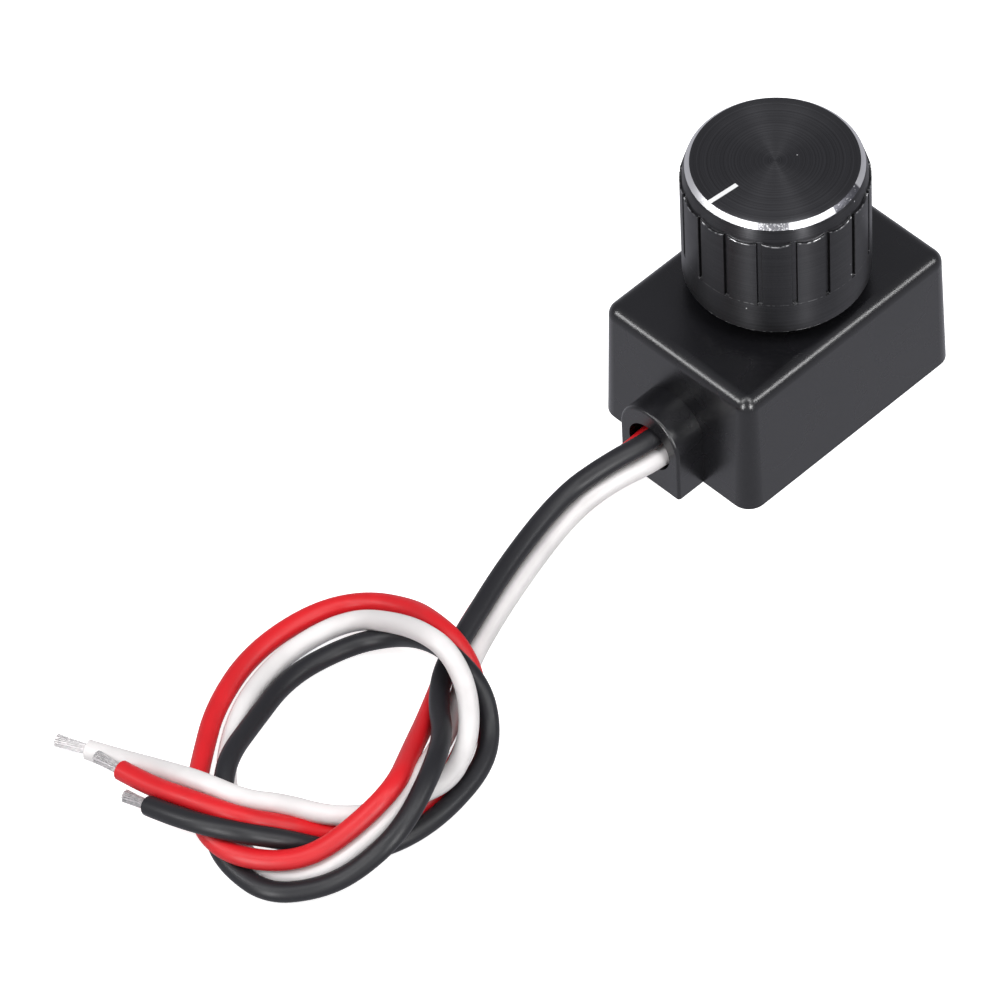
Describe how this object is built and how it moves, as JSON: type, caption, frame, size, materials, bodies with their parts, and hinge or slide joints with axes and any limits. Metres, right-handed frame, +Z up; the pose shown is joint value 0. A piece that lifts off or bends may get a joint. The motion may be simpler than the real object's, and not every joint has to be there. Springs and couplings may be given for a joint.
{
  "type": "rotary dimmer switch",
  "caption": "Small in-line box with a turning metal knob on top and loose silicone wires leaving one end, for dimming low-voltage light strips.",
  "frame": {"origin": "middle of the box's underside, on the face of the base cover", "axes": "+Z up along the knob's axis, X along the box's long side with the cable boss and the wires towards -X, Y across the box"},
  "size_m": [0.1103, 0.0403, 0.036],
  "materials": {
    "box_plastic": "moulded, semi-gloss black",
    "cover_plastic": "moulded, satin black",
    "knob_metal": "turned and anodised black, rim and pointer cut bright",
    "core_plastic": "moulded, matt",
    "shaft_metal": "turned, bare",
    "collar_metal": "nickel plated",
    "sheet_steel": "zinc plated",
    "pot_plastic": "moulded, matt",
    "track_board": "laminate with a dark printed track",
    "spring_brass": "rolled spring sheet",
    "board_laminate": "green lacquered laminate",
    "capacitor_can": "dark shrink sleeve on a can",
    "chip_resin": "moulded resin",
    "chip_ceramic": "sintered, matt",
    "tinned_metal": "tinned copper strands",
    "solder": "bright solder",
    "silicone_black": "silicone, soft sheen",
    "silicone_white": "silicone, soft sheen",
    "silicone_red": "silicone, soft sheen"
  },
  "bodies": {
    "box": {"housing": "box_plastic", "base_cover": "cover_plastic", "pot_collar": "collar_metal", "collar_washer": "sheet_steel", "collar_nut": "collar_metal", "pot_cover": "sheet_steel", "pot_case": "pot_plastic", "pot_track": "track_board", "pot_terminals": "tinned_metal", "circuit_board": "board_laminate", "electrolytic_capacitor": "capacitor_can", "mosfet": "chip_resin", "timer_chip": "chip_resin", "flyback_diode": "chip_resin", "chip_resistors": "chip_resin", "chip_capacitors": "chip_ceramic", "wire_tails": "tinned_metal", "solder_joints": "solder", "wire_black": "silicone_black", "wire_white": "silicone_white", "wire_red": "silicone_red", "wire_end_black": "tinned_metal", "wire_end_white": "tinned_metal", "wire_end_red": "tinned_metal"},
    "knob": {"knob_shell": "knob_metal", "knob_insert": "core_plastic", "pot_shaft": "shaft_metal", "shaft_ring": "sheet_steel", "pot_rotor": "pot_plastic", "pot_wiper": "spring_brass"}
  },
  "joints": [
    {"name": "knob_turn", "type": "hinge", "parent": "box", "child": "knob", "pos_m": [0.0003, 0, 0.0171], "axis": [0, 0, 1], "range_deg": [-150, 150]}
  ]
}
